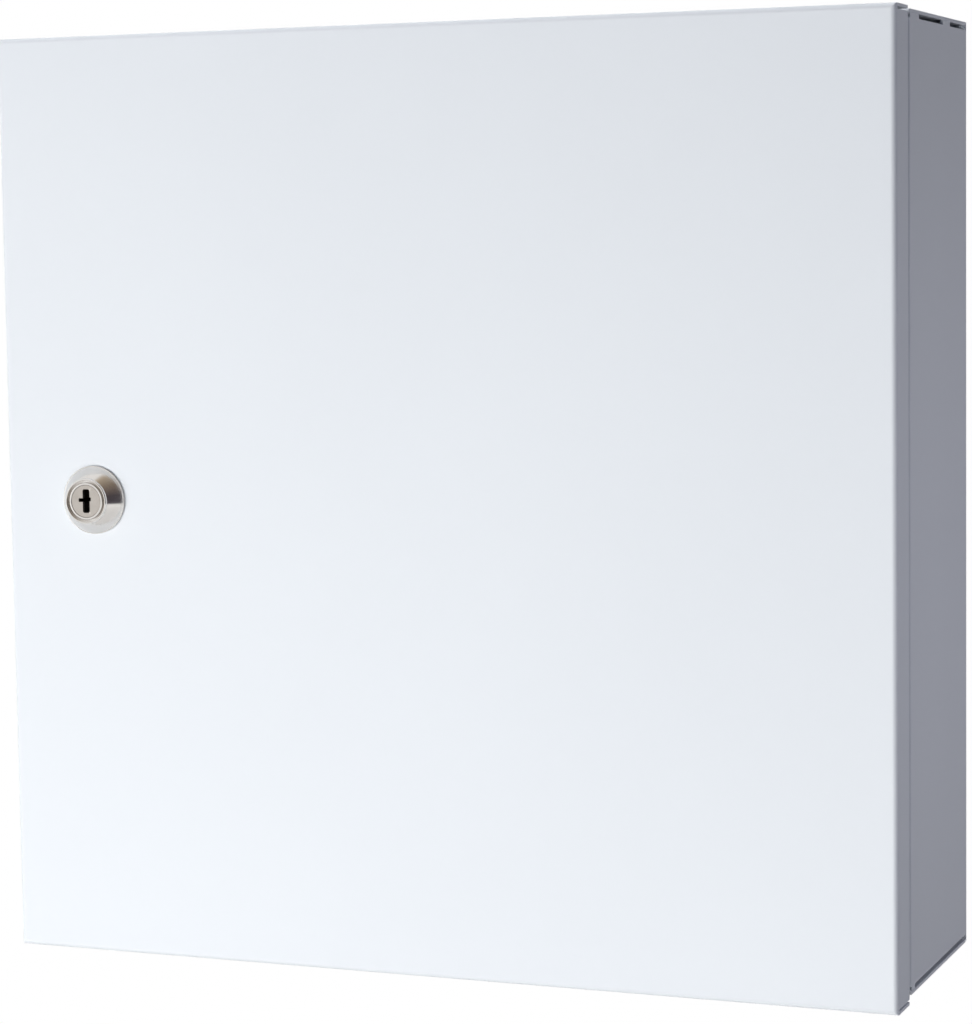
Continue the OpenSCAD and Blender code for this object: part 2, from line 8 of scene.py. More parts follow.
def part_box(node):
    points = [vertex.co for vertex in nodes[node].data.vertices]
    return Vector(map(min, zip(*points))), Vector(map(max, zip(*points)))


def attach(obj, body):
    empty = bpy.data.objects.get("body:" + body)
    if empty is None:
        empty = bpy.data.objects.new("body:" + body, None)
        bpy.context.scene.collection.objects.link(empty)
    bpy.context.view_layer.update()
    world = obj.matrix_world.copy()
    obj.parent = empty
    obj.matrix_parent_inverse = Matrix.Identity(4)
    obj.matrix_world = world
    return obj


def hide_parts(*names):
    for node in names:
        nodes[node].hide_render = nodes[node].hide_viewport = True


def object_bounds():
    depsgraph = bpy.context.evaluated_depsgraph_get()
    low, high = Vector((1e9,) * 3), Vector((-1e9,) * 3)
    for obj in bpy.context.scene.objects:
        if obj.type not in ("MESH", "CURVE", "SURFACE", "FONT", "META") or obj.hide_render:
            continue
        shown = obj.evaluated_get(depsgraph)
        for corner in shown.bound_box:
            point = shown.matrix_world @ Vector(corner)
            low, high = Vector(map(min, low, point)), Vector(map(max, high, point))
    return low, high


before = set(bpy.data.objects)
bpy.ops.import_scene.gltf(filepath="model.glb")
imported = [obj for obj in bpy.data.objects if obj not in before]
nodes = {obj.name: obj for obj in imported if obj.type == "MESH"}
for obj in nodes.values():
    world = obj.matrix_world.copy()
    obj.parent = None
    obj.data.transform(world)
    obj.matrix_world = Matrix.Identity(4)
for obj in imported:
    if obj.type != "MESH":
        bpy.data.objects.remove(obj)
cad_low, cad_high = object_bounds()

# Lengths in the drawings below are in millimetres
MM = 0.001
# Height of the picture, its longer side, in pixels
PICTURE_HEIGHT = 1024
# Rays by which the white background is seen
SEEN_BY = ("Is Camera Ray", "Is Glossy Ray", "Is Transmission Ray")
WHITE = (1, 1, 1, 1)

scene = bpy.context.scene
scene.view_settings.view_transform = "Standard"


# Camera

def make_camera():
    """The camera at the photograph's angle: right of the door and a little above its middle."""
    yaw, pitch, roll = (math.radians(angle) for angle in (21.775, -5.297, 0.844))
    place = Vector((433.2, -1136.8, 100.3)) * MM
    focal_pixels = 3068
    data = bpy.data.cameras.new("camera")
    data.lens = focal_pixels / PICTURE_HEIGHT * data.sensor_width
    data.clip_start, data.clip_end = 0.05, 50
    camera = bpy.data.objects.new("camera", data)
    scene.collection.objects.link(camera)
    upright = Matrix.Rotation(math.radians(90), 4, "X")
    turn = (Matrix.Rotation(yaw, 4, "Z") @ Matrix.Rotation(pitch, 4, "X")
            @ Matrix.Rotation(roll, 4, "Y"))
    camera.matrix_world = Matrix.Translation(place) @ turn @ upright
    scene.camera = camera


# Finishes

class Signal:
    """A value on its way through a material: sums and products of signals add Math nodes."""

    def __init__(self, tree, socket=None):
        self.tree = tree
        self.socket = socket

    def node(self, kind, settings=None, sockets=None, out=0):
        """Adds a node, sets its settings, then its sockets' values or links; gives an output."""
        made = self.tree.nodes.new(kind)
        settings = dict(settings or {})
        stops = settings.pop("stops", None)
        for name, value in settings.items():
            setattr(made, name, value)
        if stops:
            ramp = made.color_ramp
            while len(ramp.elements) > 1:
                ramp.elements.remove(ramp.elements[-1])
            ramp.elements[0].position, ramp.elements[0].color = stops[0]
            for place, colour in stops[1:]:
                ramp.elements.new(place).color = colour
        for name, value in (sockets or {}).items():
            if isinstance(value, Signal):
                self.tree.links.new(value.socket, made.inputs[name])
            else:
                made.inputs[name].default_value = value
        return Signal(self.tree, made.outputs[out] if made.outputs else None)

    def math(self, operation, first, second):
        return self.node("ShaderNodeMath", {"operation": operation}, {0: first, 1: second})

    def mixed(self, low, high):
        """A colour that goes from low to high as this signal goes from 0 to 1."""
        return self.node("ShaderNodeMix", {"data_type": "RGBA"}, {0: self, 6: low, 7: high}, 2)

    def __add__(self, other):
        return self.math("ADD", self, other)

    def __radd__(self, other):
        return self.math("ADD", other, self)

    def __sub__(self, other):
        return self.math("SUBTRACT", self, other)

    def __rsub__(self, other):
        return self.math("SUBTRACT", other, self)

    def __mul__(self, other):
        return self.math("MULTIPLY", self, other)

    def __rmul__(self, other):
        return self.math("MULTIPLY", other, self)


def start_finish(name):
    """A new material with an empty tree: its first signal, and the place its patterns read."""
    material = bpy.data.materials.new(name)
    material.use_nodes = True
    material.node_tree.nodes.clear()
    paper = Signal(material.node_tree)
    return material, paper, paper.node("ShaderNodeTexCoord", out="Object")


def end_finish(material, paper, sockets):
    """Joins the sockets to the shader of a finish and gives the material back."""
    surface = paper.node("ShaderNodeBsdfPrincipled", sockets=sockets)
    paper.node("ShaderNodeOutputMaterial", sockets={"Surface": surface})
    return material


def noise(paper, place, scale, detail=2.0, roughness=0.5):
    return paper.node("ShaderNodeTexNoise", sockets={
        "Vector": place, "Scale": scale, "Detail": detail, "Roughness": roughness})


def bump(paper, height, strength, depth):
    return paper.node("ShaderNodeBump", sockets={
        "Height": height, "Strength": strength, "Distance": depth})


def white_powder_coat():
    """Powder coat: nearly even white with the fine orange peel of the baked powder."""
    material, paper, place = start_finish("white_powder_coat")
    cloud = noise(paper, place, 7, 3)
    peel = noise(paper, place, 520, 2, 0.4)
    grain = noise(paper, place, 2400, 1)
    return end_finish(material, paper, {
        "Base Color": cloud.mixed((0.79, 0.82, 0.842, 1), (0.825, 0.857, 0.876, 1)),
        "Roughness": 0.46 + 0.12 * peel,
        "Normal": bump(paper, 0.8 * peel + 0.2 * grain, 0.25, 0.04 * MM),
        "Specular IOR Level": 0.4,
    })


def warm_nickel(axis):
    """Nickel plate with the faint rings that turning leaves round the lock's axis."""
    ripple = 16 / MM
    material, paper, place = start_finish("warm_nickel")
    cloud = noise(paper, place, 260, 3)
    centred = paper.node("ShaderNodeMapping", sockets={"Vector": place, "Location": -axis})
    flat = paper.node("ShaderNodeVectorMath", {"operation": "MULTIPLY"}, {0: centred, 1: (1, 0, 1)})
    radius = paper.node("ShaderNodeVectorMath", {"operation": "LENGTH"}, {0: flat}, "Value")
    rings = paper.math("SINE", radius * ripple + cloud * 4, 0)
    return end_finish(material, paper, {
        "Base Color": cloud.mixed((0.67, 0.645, 0.615, 1), (0.765, 0.74, 0.715, 1)),
        "Roughness": 0.10 + 0.08 * cloud,
        "Metallic": 1.0,
        "Normal": bump(paper, rings, 0.12, 0.01 * MM),
    })


def oiled_and_shaded_plug(front_y):
    """The plug's nickel face, which turns near-black inside the keyway: partly dark oil and soot,
    partly painted shade of the deep recess.
    """
    material, paper, place = start_finish("oiled_and_shaded_plug")
    cloud = noise(paper, place, 260, 3)
    depth = paper.node("ShaderNodeSeparateXYZ", sockets={0: place}, out="Y")
    # Behind the face the colour goes near-black with depth: painted shade of the keyway, partly its
    # dark oil
    oil_and_shade = paper.node("ShaderNodeMapRange", sockets={
        "Value": depth, "From Min": front_y + 0.3 * MM, "From Max": front_y + 1.4 * MM})
    bare = cloud.mixed((0.47, 0.435, 0.395, 1), (0.57, 0.53, 0.49, 1))
    return end_finish(material, paper, {
        "Base Color": oil_and_shade.mixed(bare, (0.012, 0.010, 0.008, 1)),
        "Roughness": 0.09 + 0.06 * cloud + 0.3 * oil_and_shade,
        "Metallic": 1 - 0.9 * oil_and_shade,
        "Normal": bump(paper, cloud, 0.1, 0.02 * MM),
    })


def bright_zinc():
    """Zinc plate: cool grey with the faint yellow and blue clouds of its passivation."""
    material, paper, place = start_finish("bright_zinc")
    cloud = noise(paper, place, 95, 3)
    tint = noise(paper, place, 38, 2)
    grain = noise(paper, place, 1500, 2)
    pale = cloud.mixed((0.43, 0.455, 0.50, 1), (0.55, 0.56, 0.575, 1))
    return end_finish(material, paper, {
        "Base Color": (tint * 0.35).mixed(pale, (0.56, 0.51, 0.38, 1)),
        "Roughness": 0.24 + 0.2 * cloud,
        "Metallic": 1.0,
        "Normal": bump(paper, grain, 0.15, 0.02 * MM),
    })


def galvanised_sheet():
    """Hot-dipped zinc on sheet: dull crystals a few millimetres across, each of its own grey."""
    wander_by = 3 * MM
    material, paper, place = start_finish("galvanised_sheet")
    wander = noise(paper, place, 160, 2)
    shifted = paper.node("ShaderNodeVectorMath", {"operation": "MULTIPLY_ADD"}, {
        0: wander, 1: (wander_by, wander_by, wander_by), 2: place})
    crystal = paper.node("ShaderNodeTexVoronoi", sockets={
        "Vector": shifted, "Scale": 190}, out="Color")
    grey = paper.node("ShaderNodeSeparateColor", sockets={0: crystal})
    feather = noise(paper, place, 900, 3)
    cloud = noise(paper, place, 14, 3)
    shade = 0.5 * grey + 0.2 * feather + 0.3 * cloud
    return end_finish(material, paper, {
        "Base Color": shade.mixed((0.32, 0.335, 0.355, 1), (0.56, 0.58, 0.60, 1)),
        "Roughness": 0.56 + 0.14 * grey,
        "Metallic": 0.85,
        "Normal": bump(paper, feather, 0.15, 0.02 * MM),
    })


def black_rubber():
    """Soft black rubber with a faint grey bloom."""
    material, paper, place = start_finish("black_rubber")
    bloom = noise(paper, place, 400, 3)
    grain = noise(paper, place, 3000, 2)
    return end_finish(material, paper, {
        "Base Color": bloom.mixed((0.012, 0.012, 0.013, 1), (0.035, 0.035, 0.036, 1)),
        "Roughness": 0.62 + 0.2 * bloom,
        "Normal": bump(paper, grain, 0.3, 0.03 * MM),
    })


# Studio

def rays_that_show(paper):
    """1 for the kinds of ray by which the background is seen, and 0 for the others."""
    path = paper.tree.nodes.new("ShaderNodeLightPath")
    shown = Signal(paper.tree, path.outputs[SEEN_BY[0]])
    for name in SEEN_BY[1:]:
        shown = paper.math("MAXIMUM", shown, Signal(paper.tree, path.outputs[name]))
    return shown


def make_world():
    """White background for the camera and for reflections, and a cool fill for all else."""
    world = bpy.data.worlds.new("studio")
    scene.world = world
    world.use_nodes = True
    world.node_tree.nodes.clear()
    paper = Signal(world.node_tree)
    # The fill is a little stronger from above than from below
    way = paper.node("ShaderNodeTexCoord", out="Generated")
    height = paper.node("ShaderNodeSeparateXYZ", sockets={0: way}, out="Z")
    level = paper.node("ShaderNodeMapRange", sockets={
        "Value": height, "From Min": -0.2, "From Max": 0.9, "To Min": 0.1, "To Max": 0.175})
    fill = paper.node("ShaderNodeBackground", sockets={
        "Color": (0.63, 0.68, 1.0, 1), "Strength": level})
    white = paper.node("ShaderNodeBackground", sockets={"Color": WHITE, "Strength": 1.0})
    shown = paper.node("ShaderNodeMixShader", sockets={
        0: rays_that_show(paper), 1: fill, 2: white})
    paper.node("ShaderNodeOutputWorld", sockets={"Surface": shown})


def make_floor():
    """Pale floor that takes the shadow near the object and fades into the white further out."""
    below, width = 0.6, 20
    material, paper, place = start_finish("pale_floor")
    away = paper.node("ShaderNodeVectorMath", {"operation": "LENGTH"}, {0: place}, "Value")
    fade = paper.node("ShaderNodeMapRange", {"interpolation_type": "SMOOTHSTEP"}, {
        "Value": away, "From Min": 0.5, "From Max": 2.2, "To Min": 0.8, "To Max": 1.0})
    matt = paper.node("ShaderNodeBsdfDiffuse", sockets={"Color": (0.3, 0.3, 0.3, 1)})
    white = paper.node("ShaderNodeEmission", sockets={"Color": WHITE, "Strength": 1.0})
    shown = paper.node("ShaderNodeMixShader", sockets={
        0: rays_that_show(paper) * fade, 1: matt, 2: white})
    paper.node("ShaderNodeOutputMaterial", sockets={"Surface": shown})
    bpy.ops.object.select_all(action="DESELECT")
    bpy.ops.mesh.primitive_grid_add(
        x_subdivisions=4, y_subdivisions=4, size=width, location=(0, 0, cad_low.z - below))
    floor = bpy.context.object
    floor.name = "floor"
    floor.data.materials.append(material)


def point_at(thing, place, aim, front):
    """Puts a lamp or a card at a place, with its front turned to what it serves."""
    thing.location = place
    thing.rotation_mode = "QUATERNION"
    thing.rotation_quaternion = (Vector(aim) - Vector(place)).to_track_quat(front, "Y")


def make_lamp(name, place, aim, size, power, colour=(1, 1, 1)):
    """A softbox that lights what is matt; in reflections the cards stand for the lamps."""
    data = bpy.data.lights.new(name, "AREA")
    data.shape = "RECTANGLE"
    data.size, data.size_y = size
    data.energy = power
    data.color = colour
    lamp = bpy.data.objects.new(name, data)
    scene.collection.objects.link(lamp)
    point_at(lamp, place, aim, "-Z")
    lamp.visible_camera = lamp.visible_glossy = False


def make_card(name, place, aim, size, stops, strength):
    """A card seen only in reflections; its tones change from its lower end to its upper."""
    material, paper, point = start_finish(name)
    along = paper.node("ShaderNodeSeparateXYZ", sockets={0: point}, out="Y") + 0.5
    tone = paper.node("ShaderNodeValToRGB", {"stops": stops}, {0: along})
    glow = paper.node("ShaderNodeEmission", sockets={"Color": tone, "Strength": strength})
    paper.node("ShaderNodeOutputMaterial", sockets={"Surface": glow})
    bpy.ops.object.select_all(action="DESELECT")
    bpy.ops.mesh.primitive_grid_add(x_subdivisions=2, y_subdivisions=2, size=1)
    card = bpy.context.object
    card.name = name
    card.scale = (size[0], size[1], 1)
    point_at(card, place, aim, "Z")
    card.visible_camera = card.visible_diffuse = card.visible_shadow = False
    card.data.materials.append(material)


def make_lights():
    """Softboxes round the cabinet, and the cards that the lock reflects."""
    front, lock = (0, -0.1, 0), (-0.1375, -0.11, 0)
    make_lamp("key_softbox", (-1.18, -1.95, -0.38), front, (1.15, 1.15), 43)
    make_lamp("low_strip", (0.1, -1.1, -0.55), (0, -0.1, -0.15), (0.8, 0.3), 4.4)
    make_lamp("right_softbox", (0.46, -0.06, -0.02), (0.17, -0.05, -0.02), (0.15, 0.15), 0.125,
              (1.0, 0.985, 1.13))
    make_lamp("top_softbox", (-0.25, 0.25, 1.4), (-0.1, -0.05, 0.17), (0.6, 0.4), 16)
    make_lamp("back_softbox", (-0.6, 1.9, 0.3), (0, 0, 0), (1.3, 1.3), 22)
    make_card("dark_card", (0.96, -0.62, 0.89), lock, (2.4, 3.5), (
        (0.0, (0.08, 0.073, 0.089, 1)), (0.31, (0.08, 0.068, 0.077, 1)),
        (0.54, (0.225, 0.18, 0.148, 1)), (0.82, (0.47, 0.395, 0.30, 1)),
        (1.0, (0.86, 0.81, 0.76, 1))), 1)
    make_card("bright_card", (-2.2, -1.7, -0.35), front, (1.5, 1.5), ((0.0, WHITE),), 1.7)


# Modelling by hand

# Closer than this, a point lies on a cut
HAIR = 0.0001 * MM
# Closer than this, two points are one
SAME = 0.001 * MM


def only(piece):
    """Leaves one object selected and active."""
    bpy.ops.object.select_all(action="DESELECT")
    piece.select_set(True)
    bpy.context.view_layer.objects.active = piece


def open_mesh(piece):
    only(piece)
    bpy.ops.object.mode_set(mode="EDIT")


def close_mesh():
    bpy.ops.object.mode_set(mode="OBJECT")


def pick(piece, kind, test):
    """Selects the points or faces of the open mesh whose place and normal pass a test."""
    bpy.ops.mesh.select_mode(type={"verts": "VERT", "faces": "FACE"}[kind])
    bpy.ops.mesh.select_all(action="DESELECT")
    mesh = bmesh.from_edit_mesh(piece.data)
    for part in getattr(mesh, kind):
        place = part.co if kind == "verts" else part.calc_center_median()
        part.select = test(place, part.normal)
    mesh.select_flush_mode()
    bmesh.update_edit_mesh(piece.data)


def tidy_mesh():
    """Merges doubled points of the open mesh and turns its faces outwards."""
    bpy.ops.mesh.select_all(action="SELECT")
    bpy.ops.mesh.remove_doubles(threshold=SAME)
    bpy.ops.mesh.normals_make_consistent(inside=False)


def apply_place(piece):
    """Puts an object's place, turn and scale into its mesh."""
    only(piece)
    bpy.ops.object.transform_apply(location=True, rotation=True, scale=True)
    return piece


def draw_profile(name, profile):
    """A line extruded through (radius, height) points; a third number rounds that corner."""
    bpy.ops.object.select_all(action="DESELECT")
    bpy.ops.mesh.primitive_circle_add(vertices=3, radius=MM)
    piece = bpy.context.object
    piece.name = piece.data.name = name
    open_mesh(piece)
    first = piece.data.vertices[0].co.copy()
    pick(piece, "verts", lambda place, _: (place - first).length > 0.1 * MM)
    bpy.ops.mesh.delete(type="VERT")
    bpy.ops.mesh.select_all(action="SELECT")
    last = first
    for i, corner in enumerate(profile):
        here = Vector((corner[0], 0, corner[1])) * MM
        if i == 0:
            bpy.ops.transform.translate(value=here - last)
        else:
            bpy.ops.mesh.extrude_region_move(TRANSFORM_OT_translate={"value": here - last})
        last = here
    for corner in profile:
        if len(corner) > 2:
            here = Vector((corner[0], 0, corner[1])) * MM
            pick(piece, "verts", lambda place, _: (place - here).length < SAME)
            bpy.ops.mesh.bevel(affect="VERTICES", offset=corner[2] * MM, segments=3)
    return piece


def turned(name, profile, steps=64):
    """A piece turned on a lathe: the profile is spun round +Z and closed."""
    piece = draw_profile(name, profile)
    bpy.ops.mesh.select_all(action="SELECT")
    bpy.ops.mesh.spin(steps=steps, angle=2 * math.pi, center=(0, 0, 0), axis=(0, 0, 1))
    tidy_mesh()
    close_mesh()
    return piece


def threaded(name, radius, pitch, length, tip):
    """A rod along +Z with a helical thread, cut square at its foot and turned down at its tip."""
    root = radius - 0.6 * pitch
    piece = draw_profile(name, [
        (root, 0), (root, 0.14 * pitch), (radius, 0.45 * pitch),
        (radius, 0.55 * pitch), (root, 0.86 * pitch), (root, pitch)])
    close_mesh()
    winding = piece.modifiers.new("winding", "SCREW")
    winding.axis = "Z"
    winding.angle = 2 * math.pi
    winding.screw_offset = pitch * MM
    winding.iterations = math.ceil(length / pitch) + 2
    winding.steps = winding.render_steps = 24
    bpy.ops.object.modifier_apply(modifier=winding.name)
    open_mesh(piece)
    tidy_mesh()
    # The helix begins as a ramp, so the rod is cut a little above its first turn
    start = 1.2 * pitch
    foot, end = start * MM, (start + length - tip) * MM
    bpy.ops.mesh.bisect(plane_co=(0, 0, foot), plane_no=(0, 0, 1), use_fill=True,
                        clear_inner=True, threshold=HAIR)
    bpy.ops.mesh.select_all(action="SELECT")
    bpy.ops.mesh.bisect(plane_co=(0, 0, end), plane_no=(0, 0, 1), use_fill=True,
                        clear_outer=True, threshold=HAIR)
    pick(piece, "faces", lambda place, normal: (
        abs(place.z - end) < 0.01 * MM and abs(normal.z) > 0.9))
    bpy.ops.mesh.extrude_region_move(TRANSFORM_OT_translate={"value": (0, 0, tip * MM)})
    shrink = (root - 0.5 * tip) / root
    bpy.ops.transform.resize(value=(shrink, shrink, 1), center_override=(0, 0, end))
    bpy.ops.mesh.select_all(action="SELECT")
    bpy.ops.transform.translate(value=(0, 0, -foot))
    tidy_mesh()
    close_mesh()
    return piece


def carved(piece, tool, operation="DIFFERENCE"):
    """Cuts a piece with another object, or keeps their shared part, or joins the two."""
    only(piece)
    carving = piece.modifiers.new("carving", "BOOLEAN")
    carving.operation = operation
    carving.solver = "EXACT"
    carving.object = tool
    bpy.ops.object.modifier_apply(modifier=carving.name)
    bpy.data.objects.remove(tool)
    return piece


def block(name, low, high):
    """A plain block between two corners, for carving."""
    bpy.ops.object.select_all(action="DESELECT")
    bpy.ops.mesh.primitive_cube_add(size=1)
    piece = bpy.context.object
    piece.name = piece.data.name = name
    piece.scale = (Vector(high) - Vector(low)) * MM
    piece.location = (Vector(high) + Vector(low)) / 2 * MM
    return apply_place(piece)


def joined(piece, *others):
    """Puts other objects into a piece's own mesh."""
    only(piece)
    for other in others:
        other.select_set(True)
    bpy.ops.object.join()
    return piece


def soften(piece, width, segments=2, angle=35, clamp=True):
    """Rounds the edges of a piece that are sharper than an angle."""
    only(piece)
    rounding = piece.modifiers.new("rounding", "BEVEL")
    rounding.width = width * MM
    rounding.segments = segments
    rounding.limit_method = "ANGLE"
    rounding.angle_limit = math.radians(angle)
    rounding.use_clamp_overlap = clamp
    bpy.ops.object.modifier_apply(modifier=rounding.name)
    return piece


def stand(piece, foot, along):
    """Turns a piece drawn along +Z to another direction and moves its foot to a place."""
    piece.rotation_mode = "QUATERNION"
    piece.rotation_quaternion = Vector((0, 0, 1)).rotation_difference(Vector(along))
    piece.location = foot
    return apply_place(piece)


def repeated(piece, feet, along):
    """Copies a piece drawn along +Z to each foot and joins the copies into one piece."""
    copies = []
    for foot in feet[1:]:
        copy = piece.copy()
        copy.data = piece.data.copy()
        scene.collection.objects.link(copy)
        copies.append(stand(copy, foot, along))
    stand(piece, feet[0], along)
    return joined(piece, *copies)


def softened_copy(node, name, width, clamp=True):
    """A copy of a sheet or strip from the CAD frame, merged, with its cut edges rounded."""
    piece = nodes[node].copy()
    piece.data = nodes[node].data.copy()
    piece.name = piece.data.name = name
    for key in list(piece.keys()):
        del piece[key]
    piece.parent = None
    scene.collection.objects.link(piece)
    open_mesh(piece)
    tidy_mesh()
    bpy.ops.mesh.dissolve_limited(angle_limit=math.radians(0.5))
    close_mesh()
    return soften(piece, width, clamp=clamp)


def finish_piece(piece, finish, body, slot, *replaced):
    """Gives a piece its finish, lets it ride on its body and hides the parts it stands for."""
    open_mesh(piece)
    bpy.ops.mesh.select_all(action="SELECT")
    bpy.ops.mesh.remove_doubles(threshold=HAIR)
    bpy.ops.mesh.dissolve_degenerate(threshold=HAIR)
    bpy.ops.mesh.delete_loose()
    close_mesh()
    bpy.ops.object.shade_smooth_by_angle(angle=math.radians(32))
    flats = piece.modifiers.new("flats", "WEIGHTED_NORMAL")
    flats.keep_sharp = True
    bpy.ops.object.modifier_apply(modifier=flats.name)
    piece.data.materials.clear()
    piece.data.materials.append(finish)
    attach(piece, body)
    if replaced:
        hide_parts(*replaced)


# Nuts, washers and threads

# Out of the cabinet through its door, in towards the wall, and up
OUT = (0, -1, 0)
IN = (0, 1, 0)
UP = (0, 0, 1)


def hex_nut(name, across_flats, bore, height):
    """A hexagon nut along +Z with both ends chamfered and its bore countersunk."""
    half = across_flats / 2
    corner = half / math.cos(math.radians(30))
    # The chamfer falls from the flat land to a point beyond the corners
    land, beyond, drop = 0.97 * half, corner + 1, 1.1 * (corner - half)
    sink = 0.08 * half
    bpy.ops.object.select_all(action="DESELECT")
    bpy.ops.mesh.primitive_cylinder_add(
        vertices=6, radius=corner * MM, depth=height * MM, location=(0, 0, height / 2 * MM))
    piece = bpy.context.object
    piece.name = piece.data.name = name
    apply_place(piece)
    ring = turned("nut_ring", [
        (bore / 2, sink), (bore / 2, height - sink), (bore / 2 + sink, height), (land, height),
        (beyond, height - drop), (beyond, drop), (land, 0), (bore / 2 + sink, 0),
        (bore / 2, sink)], 66)
    carved(piece, ring, "INTERSECT")
    open_mesh(piece)
    tidy_mesh()
    close_mesh()
    return soften(piece, 0.18, 2, 40)


def ring_washer(name, outer, bore, height, rounding):
    """A stamped washer along +Z, with a rolled upper edge and a sharper lower one."""
    return turned(name, [
        (bore / 2, 0.4 * rounding), (bore / 2, height, rounding), (outer / 2, height, rounding),
        (outer / 2, 0, 0.4 * rounding), (bore / 2, 0), (bore / 2, 0.4 * rounding)])


def stud_thread(name, length):
    """The thread of a 6 mm stud."""
    return threaded(name, 3.0, 1.0, length, 0.7)


def stud_washer(name):
    """The washer of a 6 mm stud."""
    return ring_washer(name, 12, 6.8, 1.4, 0.3)


def stud_nut(name):
    """The nut of a 6 mm stud."""
    return hex_nut(name, 10, 6.06, 5)


# Lock

def make_lock_head(foot, nickel):
    """The turned head with its grooved front, in one piece with the threaded barrel."""
    bore, neck, base, behind = 6.26, 9.3, 13.0, -1
    rim, rim_foot, flank_end, flank_foot = 8.75, 6.3, 12.7, 1.0
    # Between its ends the flank swells by this much, outwards and to the front
    swell, steps = 0.2, 9
    flank = []
    for i in range(steps + 1):
        along = i / steps
        out = 4 * swell * along * (1 - along)
        flank.append((rim + (flank_end - rim) * along + 0.8 * out,
                      rim_foot + (flank_foot - rim_foot) * along + 0.6 * out))
    inner_ring = [(bore, 6.93, 0.03), (6.33, 7.0, 0.03), (6.95, 7.0, 0.15)]
    groove = [(7.1, 6.75), (7.1, 4.2), (8.0, 4.2), (8.0, 7.15)]
    outer_ring = [(8.1, 7.3, 0.1), (8.45, 7.3, 0.2), (8.72, 6.85, 0.2)]
    edge = [(base, flank_foot, 0.2), (base, 0, 0.1), (neck, 0)]
    head = turned("lock_head", [
        (bore, behind), *inner_ring, *groove, *outer_ring, *flank, *edge,
        (neck, behind), (bore, behind)], 96)
    flat, hollow, outside, before, past = 8.25, 5.76, 12, -2, 24
    length = (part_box("lock_housing")[1].y - foot.y) / MM
    barrel = threaded("lock_barrel", 9.5, 1.0, length, 0.5)
    carved(barrel, block("left_flat", (-outside, -outside, before), (-flat, outside, past)))
    carved(barrel, block("right_flat", (flat, -outside, before), (outside, outside, past)))
    carved(barrel, turned("plug_bore", [
        (0, before), (hollow, before), (hollow, past), (0, past)], 48))
    stand(head, foot, OUT)
    stand(barrel, foot, IN)
    finish_piece(carved(head, barrel, "UNION"), nickel, "door", "nickel_plate", "lock_housing")


def make_lock_plug(foot, oiled_and_shaded):
    """The plug: face, shank and square tail, with keyway, wards and the cam screw's hole."""
    back = (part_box("lock_cam")[0].y - foot.y) / MM
    tail = (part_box("lock_plug")[1].y - foot.y) / MM
    face, shank, half_square = 6.2, 5.7, 3.8
    front, step = 6.9, 4.9
    plug = turned("lock_plug_core", [
        (0, front), (face - 0.12, front, 0.05), (face, front - 0.12, 0.05), (face, step),
        (shank, step), (shank, -back), (0, -back)], 72)
    square = block("square_tail", (-half_square, -half_square, -tail),
                   (half_square, half_square, -back + 1))
    carved(plug, square, "UNION")
    # Each cut goes from its depth in the plug out through the face
    for name, low, high, rounding, segments in (
            ("keyway", (-1.35, -4.4, -10.1), (1.6, 4.6, 9), 0.75, 4),
            ("left_ward", (-3.1, -0.25, -9.6), (-0.9, 1.15, 9), 0.3, 3),
            ("right_ward", (1.1, 0.05, -9.2), (2.15, 1.55, 9), 0.25, 3)):
        carved(plug, soften(block(name, low, high), rounding, segments))
    hole, deep, past = 2.03, -tail + 11, -tail - 1
    carved(plug, turned("screw_hole", [(0, past), (hole, past), (hole, deep), (0, deep)], 32))
    soften(plug, 0.08, 2, 40)
    finish_piece(stand(plug, foot, OUT), oiled_and_shaded, "lock_core", "nickel_plate", "lock_plug")


def make_wafers(foot, oiled_and_shaded):
    """Six wafers one behind the other, which reach into the keyway from below and above in turn."""
    left, right, edge, half_thick = -1.33, 1.58, 4.3, 0.5
    foremost, pitch = 2.6, 2.1
    wafers = []
    for i in range(6):
        side = 1 if i % 2 else -1
        depth = foremost - pitch * i
        # Three lengths of wafer take turns, as a key's cuts would have them
        reach = 0.9 + 0.5 * (i * 2 % 3)
        low, high = sorted((side * reach, side * edge))
        wafer = block("wafer", (left, low, depth - half_thick), (right, high, depth + half_thick))
        wafers.append(soften(wafer, 0.12, 2))
    wafers = stand(joined(*wafers), foot, OUT)
    wafers.name = wafers.data.name = "lock_wafers"
    # The wafers take the plug's finish and sit deep, so they are near-black: painted shade, partly
    # oil
    finish_piece(wafers, oiled_and_shaded, "lock_core", "nickel_plate")


def make_lock_clamp(axis, zinc):
    """The toothed washer and the nut that hold the barrel in the door."""
    bore, width = 19.06, 24
    tooth_count, tooth_root, half_gap = 20, 10.9, 0.5
    washer = ring_washer("lock_star_washer", width, bore, 1.0, 0.2)
    gaps = []
    for i in range(tooth_count):
        gap = block("tooth_gap", (tooth_root, -half_gap, -1), (13, half_gap, 2))
        gap.rotation_euler.z = 2 * math.pi * i / tooth_count
        gaps.append(apply_place(gap))
    carved(washer, joined(*gaps))
    stand(washer, (axis.x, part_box("lock_washer")[0].y, axis.z), IN)
    finish_piece(washer, zinc, "door", "zinc_plate", "lock_washer")
    nut = hex_nut("lock_ring_nut", width, bore, 5)
    stand(nut, (axis.x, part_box("lock_nut")[0].y, axis.z), IN)
    finish_piece(nut, zinc, "door", "zinc_plate", "lock_nut")


